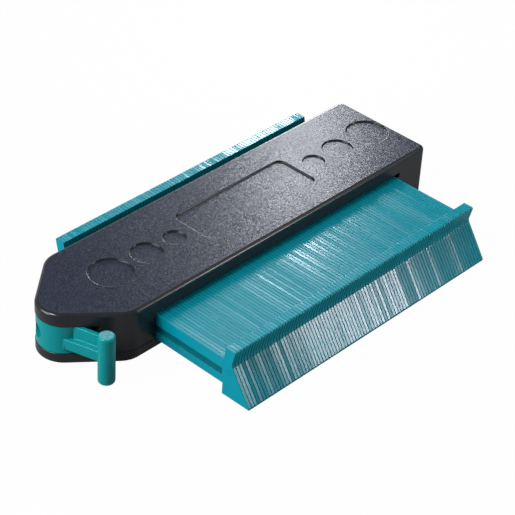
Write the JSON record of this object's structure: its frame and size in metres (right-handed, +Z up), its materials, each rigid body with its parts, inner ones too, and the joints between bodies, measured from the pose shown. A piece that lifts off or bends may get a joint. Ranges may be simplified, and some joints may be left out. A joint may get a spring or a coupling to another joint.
{
  "type": "contour gauge",
  "caption": "Plastic contour gauge: a long row of thin teal fins slides through a flat dark housing and is clamped by a cam lever in its rounded nose.",
  "frame": {"origin": "centre of the housing's flat base, half-way between the nose tip and the flat end", "axes": "+X along the housing to its flat end, +Y to the back, away from the longer ends of the fins, +Z up from the base"},
  "size_m": [0.184, 0.1087, 0.0228],
  "materials": {
    "housing_grey": "fine matte texture",
    "housing_black": "satin",
    "shoe_black": "satin",
    "teal_gloss": "glossy",
    "teal_plastic": "semi-gloss",
    "steel": "ground",
    "screw_steel": "plated"
  },
  "bodies": {
    "housing": {"base": "housing_black", "cover": "housing_grey", "pivot_pin": "steel", "screw_1": "screw_steel", "screw_2": "screw_steel", "screw_3": "screw_steel", "screw_4": "screw_steel"},
    "lever": {"lever": "teal_plastic"},
    "shoe": {"shoe": "shoe_black"},
    "slide_01": {"fins_01": "teal_gloss"},
    "slide_02": {"fins_02": "teal_gloss"},
    "slide_03": {"fins_03": "teal_gloss"},
    "slide_04": {"fins_04": "teal_gloss"},
    "slide_05": {"fins_05": "teal_gloss"},
    "slide_06": {"fins_06": "teal_gloss"},
    "slide_07": {"fins_07": "teal_gloss"},
    "slide_08": {"fins_08": "teal_gloss"},
    "slide_09": {"fins_09": "teal_gloss"},
    "slide_10": {"fins_10": "teal_gloss"},
    "slide_11": {"fins_11": "teal_gloss"},
    "slide_12": {"fins_12": "teal_gloss"},
    "slide_13": {"fins_13": "teal_gloss"},
    "slide_14": {"fins_14": "teal_gloss"},
    "slide_15": {"fins_15": "teal_gloss"},
    "slide_16": {"fins_16": "teal_gloss"},
    "slide_17": {"fins_17": "teal_gloss"},
    "slide_18": {"fins_18": "teal_gloss"},
    "slide_19": {"fins_19": "teal_gloss"},
    "slide_20": {"fins_20": "teal_gloss"},
    "slide_21": {"fins_21": "teal_gloss"},
    "slide_22": {"fins_22": "teal_gloss"},
    "slide_23": {"fins_23": "teal_gloss"},
    "slide_24": {"fins_24": "teal_gloss"},
    "slide_25": {"fins_25": "teal_gloss"},
    "slide_26": {"fins_26": "teal_gloss"},
    "slide_27": {"fins_27": "teal_gloss"},
    "slide_28": {"fins_28": "teal_gloss"},
    "slide_29": {"fins_29": "teal_gloss"},
    "slide_30": {"fins_30": "teal_gloss"},
    "slide_31": {"fins_31": "teal_gloss"},
    "slide_32": {"fins_32": "teal_gloss"},
    "slide_33": {"fins_33": "teal_gloss"},
    "slide_34": {"fins_34": "teal_gloss"},
    "slide_35": {"fins_35": "teal_gloss"},
    "slide_36": {"fins_36": "teal_gloss"},
    "slide_37": {"fins_37": "teal_gloss"},
    "slide_38": {"fins_38": "teal_gloss"},
    "slide_39": {"fins_39": "teal_gloss"},
    "slide_40": {"fins_40": "teal_gloss"},
    "slide_41": {"fins_41": "teal_gloss"},
    "slide_42": {"fins_42": "teal_gloss"},
    "slide_43": {"fins_43": "teal_gloss"},
    "slide_44": {"fins_44": "teal_gloss"}
  },
  "joints": [
    {"name": "lever_turn", "type": "hinge", "parent": "housing", "child": "lever", "pos_m": [-0.0815, 0, 0.01], "axis": [0, 0, -1], "range_deg": [0, 120]},
    {"name": "shoe_press", "type": "slide", "parent": "housing", "child": "shoe", "axis": [1, 0, 0], "range_m": [0, 0.0008]},
    {"name": "fins_01_slide", "type": "slide", "parent": "housing", "child": "slide_01", "axis": [0, 1, 0], "range_m": [-0.0024, 0.0329]},
    {"name": "fins_02_slide", "type": "slide", "parent": "housing", "child": "slide_02", "axis": [0, 1, 0], "range_m": [-0.0024, 0.0329]},
    {"name": "fins_03_slide", "type": "slide", "parent": "housing", "child": "slide_03", "axis": [0, 1, 0], "range_m": [-0.0024, 0.0329]},
    {"name": "fins_04_slide", "type": "slide", "parent": "housing", "child": "slide_04", "axis": [0, 1, 0], "range_m": [-0.0024, 0.0329]},
    {"name": "fins_05_slide", "type": "slide", "parent": "housing", "child": "slide_05", "axis": [0, 1, 0], "range_m": [-0.0024, 0.0329]},
    {"name": "fins_06_slide", "type": "slide", "parent": "housing", "child": "slide_06", "axis": [0, 1, 0], "range_m": [-0.0024, 0.0329]},
    {"name": "fins_07_slide", "type": "slide", "parent": "housing", "child": "slide_07", "axis": [0, 1, 0], "range_m": [-0.0024, 0.0329]},
    {"name": "fins_08_slide", "type": "slide", "parent": "housing", "child": "slide_08", "axis": [0, 1, 0], "range_m": [-0.0024, 0.0329]},
    {"name": "fins_09_slide", "type": "slide", "parent": "housing", "child": "slide_09", "axis": [0, 1, 0], "range_m": [-0.0024, 0.0329]},
    {"name": "fins_10_slide", "type": "slide", "parent": "housing", "child": "slide_10", "axis": [0, 1, 0], "range_m": [-0.0024, 0.0329]},
    {"name": "fins_11_slide", "type": "slide", "parent": "housing", "child": "slide_11", "axis": [0, 1, 0], "range_m": [-0.0024, 0.0329]},
    {"name": "fins_12_slide", "type": "slide", "parent": "housing", "child": "slide_12", "axis": [0, 1, 0], "range_m": [-0.0024, 0.0329]},
    {"name": "fins_13_slide", "type": "slide", "parent": "housing", "child": "slide_13", "axis": [0, 1, 0], "range_m": [-0.0024, 0.0329]},
    {"name": "fins_14_slide", "type": "slide", "parent": "housing", "child": "slide_14", "axis": [0, 1, 0], "range_m": [-0.0024, 0.0329]},
    {"name": "fins_15_slide", "type": "slide", "parent": "housing", "child": "slide_15", "axis": [0, 1, 0], "range_m": [-0.0024, 0.0329]},
    {"name": "fins_16_slide", "type": "slide", "parent": "housing", "child": "slide_16", "axis": [0, 1, 0], "range_m": [-0.0024, 0.0329]},
    {"name": "fins_17_slide", "type": "slide", "parent": "housing", "child": "slide_17", "axis": [0, 1, 0], "range_m": [-0.0024, 0.0329]},
    {"name": "fins_18_slide", "type": "slide", "parent": "housing", "child": "slide_18", "axis": [0, 1, 0], "range_m": [-0.0024, 0.0329]},
    {"name": "fins_19_slide", "type": "slide", "parent": "housing", "child": "slide_19", "axis": [0, 1, 0], "range_m": [-0.0024, 0.0329]},
    {"name": "fins_20_slide", "type": "slide", "parent": "housing", "child": "slide_20", "axis": [0, 1, 0], "range_m": [-0.0024, 0.0329]},
    {"name": "fins_21_slide", "type": "slide", "parent": "housing", "child": "slide_21", "axis": [0, 1, 0], "range_m": [-0.0024, 0.0329]},
    {"name": "fins_22_slide", "type": "slide", "parent": "housing", "child": "slide_22", "axis": [0, 1, 0], "range_m": [-0.0024, 0.0329]},
    {"name": "fins_23_slide", "type": "slide", "parent": "housing", "child": "slide_23", "axis": [0, 1, 0], "range_m": [-0.0024, 0.0329]},
    {"name": "fins_24_slide", "type": "slide", "parent": "housing", "child": "slide_24", "axis": [0, 1, 0], "range_m": [-0.0024, 0.0329]},
    {"name": "fins_25_slide", "type": "slide", "parent": "housing", "child": "slide_25", "axis": [0, 1, 0], "range_m": [-0.0024, 0.0329]},
    {"name": "fins_26_slide", "type": "slide", "parent": "housing", "child": "slide_26", "axis": [0, 1, 0], "range_m": [-0.0024, 0.0329]},
    {"name": "fins_27_slide", "type": "slide", "parent": "housing", "child": "slide_27", "axis": [0, 1, 0], "range_m": [-0.0024, 0.0329]},
    {"name": "fins_28_slide", "type": "slide", "parent": "housing", "child": "slide_28", "axis": [0, 1, 0], "range_m": [-0.0024, 0.0329]},
    {"name": "fins_29_slide", "type": "slide", "parent": "housing", "child": "slide_29", "axis": [0, 1, 0], "range_m": [-0.0024, 0.0329]},
    {"name": "fins_30_slide", "type": "slide", "parent": "housing", "child": "slide_30", "axis": [0, 1, 0], "range_m": [-0.0024, 0.0329]},
    {"name": "fins_31_slide", "type": "slide", "parent": "housing", "child": "slide_31", "axis": [0, 1, 0], "range_m": [-0.0024, 0.0329]},
    {"name": "fins_32_slide", "type": "slide", "parent": "housing", "child": "slide_32", "axis": [0, 1, 0], "range_m": [-0.0024, 0.0329]},
    {"name": "fins_33_slide", "type": "slide", "parent": "housing", "child": "slide_33", "axis": [0, 1, 0], "range_m": [-0.0024, 0.0329]},
    {"name": "fins_34_slide", "type": "slide", "parent": "housing", "child": "slide_34", "axis": [0, 1, 0], "range_m": [-0.0024, 0.0329]},
    {"name": "fins_35_slide", "type": "slide", "parent": "housing", "child": "slide_35", "axis": [0, 1, 0], "range_m": [-0.0024, 0.0329]},
    {"name": "fins_36_slide", "type": "slide", "parent": "housing", "child": "slide_36", "axis": [0, 1, 0], "range_m": [-0.0024, 0.0329]},
    {"name": "fins_37_slide", "type": "slide", "parent": "housing", "child": "slide_37", "axis": [0, 1, 0], "range_m": [-0.0024, 0.0329]},
    {"name": "fins_38_slide", "type": "slide", "parent": "housing", "child": "slide_38", "axis": [0, 1, 0], "range_m": [-0.0024, 0.0329]},
    {"name": "fins_39_slide", "type": "slide", "parent": "housing", "child": "slide_39", "axis": [0, 1, 0], "range_m": [-0.0024, 0.0329]},
    {"name": "fins_40_slide", "type": "slide", "parent": "housing", "child": "slide_40", "axis": [0, 1, 0], "range_m": [-0.0024, 0.0329]},
    {"name": "fins_41_slide", "type": "slide", "parent": "housing", "child": "slide_41", "axis": [0, 1, 0], "range_m": [-0.0024, 0.0329]},
    {"name": "fins_42_slide", "type": "slide", "parent": "housing", "child": "slide_42", "axis": [0, 1, 0], "range_m": [-0.0024, 0.0329]},
    {"name": "fins_43_slide", "type": "slide", "parent": "housing", "child": "slide_43", "axis": [0, 1, 0], "range_m": [-0.0024, 0.0329]},
    {"name": "fins_44_slide", "type": "slide", "parent": "housing", "child": "slide_44", "axis": [0, 1, 0], "range_m": [-0.0024, 0.0329]}
  ],
  "couplings": [
    {"joint": "shoe_press", "follows": "lever_turn", "m_per_rad": 0.00038}
  ]
}
